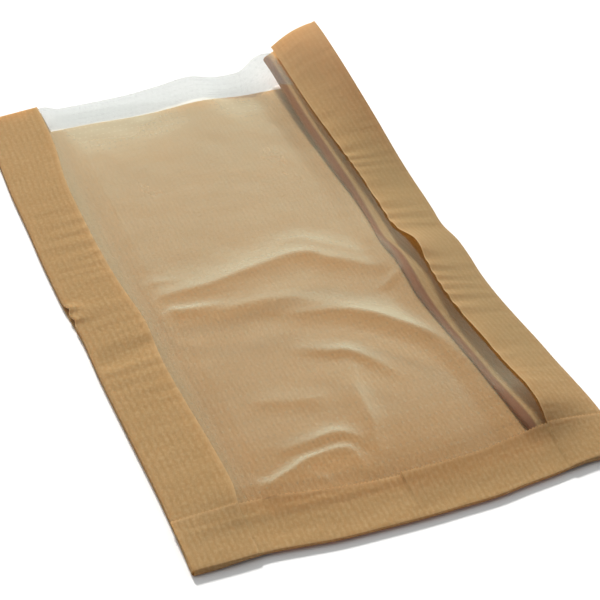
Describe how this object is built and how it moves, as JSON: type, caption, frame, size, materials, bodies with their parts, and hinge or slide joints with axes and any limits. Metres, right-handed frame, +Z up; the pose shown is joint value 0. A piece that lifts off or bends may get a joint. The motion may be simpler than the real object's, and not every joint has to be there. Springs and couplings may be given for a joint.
{
  "type": "windowed paper bread bag",
  "caption": "Flat empty paper bread bag with side gussets, a clear film window down its front, a folded-up bottom band and an open mouth.",
  "frame": {"origin": "bottom centre of the bag's box, on the surface that the back panel lies on", "axes": "+X across the bag towards the side whose gusset stands open, +Y from the folded bottom towards the mouth, +Z up, out of the window front"},
  "size_m": [0.2098, 0.3699, 0.0318],
  "materials": {
    "kraft_paper": "matt ribbed brown kraft paper, with fine lengthwise ribs and soft cross creases",
    "clear_film": "thin clear glossy film with fine perforations and soft wrinkles"
  },
  "bodies": {
    "root": {"paper_body": "kraft_paper", "window_film": "clear_film"}
  },
  "joints": []
}
